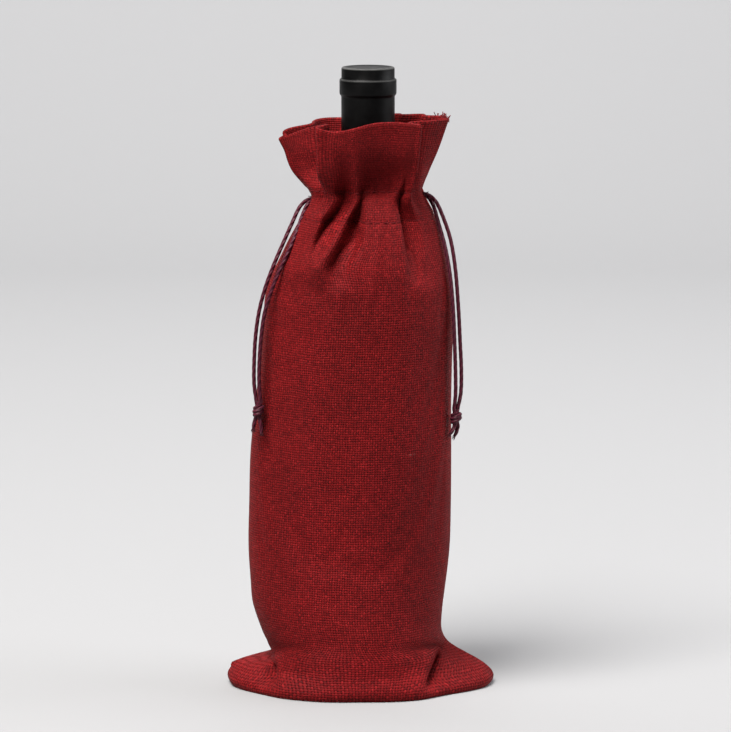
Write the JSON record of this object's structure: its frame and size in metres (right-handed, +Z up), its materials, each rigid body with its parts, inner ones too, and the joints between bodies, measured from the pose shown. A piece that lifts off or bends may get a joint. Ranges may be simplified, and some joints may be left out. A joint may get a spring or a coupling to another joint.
{
  "type": "wine gift bag",
  "caption": "Gathered drawstring cloth bag standing round a corked wine bottle, with a ruffled neck, a cord casing and two knotted cord tails.",
  "frame": {"origin": "on the bottle's axis, at the surface the bag stands on, in the middle of the bottom seam", "axes": "+Z up along the bottle's axis; -Y towards the front of the bag; +X towards its right side seam as seen from the front"},
  "size_m": [0.1393, 0.085, 0.3234],
  "materials": {
    "red_cloth": "coarse plain weave of heathered crimson yarn with a faint sheen",
    "red_thread": "matt sewing thread",
    "burgundy_cord": "twisted satin cord",
    "green_black_glass": "smooth dark bottle glass",
    "red_wine": "clear dark liquid",
    "natural_cork": "cut natural cork",
    "matte_black_foil": "matt black shrink foil"
  },
  "bodies": {
    "bag_body": {"front_body_cloth": "red_cloth", "back_body_cloth": "red_cloth", "bottom_seam": "red_cloth", "bottom_seam_stitching": "red_thread", "left_side_seam": "red_cloth", "left_side_seam_stitching": "red_thread", "right_side_seam": "red_cloth", "right_side_seam_stitching": "red_thread"},
    "front_neck": {"front_neck_cloth": "red_cloth", "front_casing_upper_stitching": "red_thread", "front_casing_lower_stitching": "red_thread", "right_cord_front_casing_run": "burgundy_cord", "left_cord_front_casing_run": "burgundy_cord"},
    "back_neck": {"back_neck_cloth": "red_cloth", "back_casing_upper_stitching": "red_thread", "back_casing_lower_stitching": "red_thread", "right_cord_back_casing_run": "burgundy_cord", "left_cord_back_casing_run": "burgundy_cord"},
    "right_tail": {"right_cord_outer_strand": "burgundy_cord", "right_cord_inner_strand": "burgundy_cord", "right_cord_knot": "burgundy_cord", "right_cord_front_cut_end": "burgundy_cord", "right_cord_rear_cut_end": "burgundy_cord"},
    "left_tail": {"left_cord_outer_strand": "burgundy_cord", "left_cord_inner_strand": "burgundy_cord", "left_cord_knot": "burgundy_cord", "left_cord_front_cut_end": "burgundy_cord", "left_cord_rear_cut_end": "burgundy_cord"},
    "bottle": {"bottle_glass": "green_black_glass", "wine": "red_wine", "cork": "natural_cork", "capsule_skirt": "matte_black_foil", "capsule_top_disc": "matte_black_foil"}
  },
  "joints": [
    {"name": "neck_open", "type": "slide", "parent": "bag_body", "child": "front_neck", "axis": [0, -1, 0], "range_m": [0, 0.018]},
    {"name": "back_neck_open", "type": "slide", "parent": "bag_body", "child": "back_neck", "axis": [0, 1, 0], "range_m": [0, 0.018]},
    {"name": "right_tail_draw", "type": "slide", "parent": "bag_body", "child": "right_tail", "axis": [0, 0, 1], "range_m": [0, 0.027], "deforming": ["right_cord_outer_strand", "right_cord_inner_strand"]},
    {"name": "left_tail_draw", "type": "slide", "parent": "bag_body", "child": "left_tail", "axis": [0, 0, 1], "range_m": [0, 0.027], "deforming": ["left_cord_outer_strand", "left_cord_inner_strand"]},
    {"name": "bottle_lift", "type": "slide", "parent": "bag_body", "child": "bottle", "axis": [0, 0, 1], "range_m": [0, 0.006]}
  ],
  "couplings": [
    {"joint": "back_neck_open", "follows": "neck_open", "ratio": 1},
    {"joint": "right_tail_draw", "follows": "neck_open", "ratio": 1.5},
    {"joint": "left_tail_draw", "follows": "neck_open", "ratio": 1.5}
  ]
}
